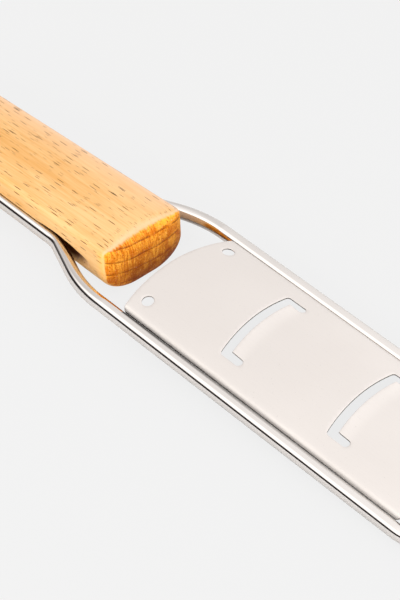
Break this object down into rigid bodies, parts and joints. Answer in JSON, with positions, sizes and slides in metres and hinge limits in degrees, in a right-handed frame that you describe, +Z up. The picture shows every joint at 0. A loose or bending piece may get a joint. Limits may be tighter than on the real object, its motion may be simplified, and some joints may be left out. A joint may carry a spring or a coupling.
{
  "type": "hand slicer",
  "caption": "Kitchen hand slicer: a beech handle held in a bent round wire frame that carries an arched steel plate with skewed cutting slots.",
  "frame": {"origin": "centre of the object's length and width, on the surface it lies on: the level of the handle's belly land and of the wire at the tip", "axes": "+X from the handle towards the tip, +Y across, +Z up out of the cutting side"},
  "size_m": [0.2796, 0.058, 0.0206],
  "materials": {
    "beech": "oiled beech, satin",
    "polished_wire": "polished stainless",
    "satin_plate": "satin stainless"
  },
  "bodies": {
    "root": {"handle": "beech", "wire_frame": "polished_wire", "slicing_plate": "satin_plate"}
  },
  "joints": []
}
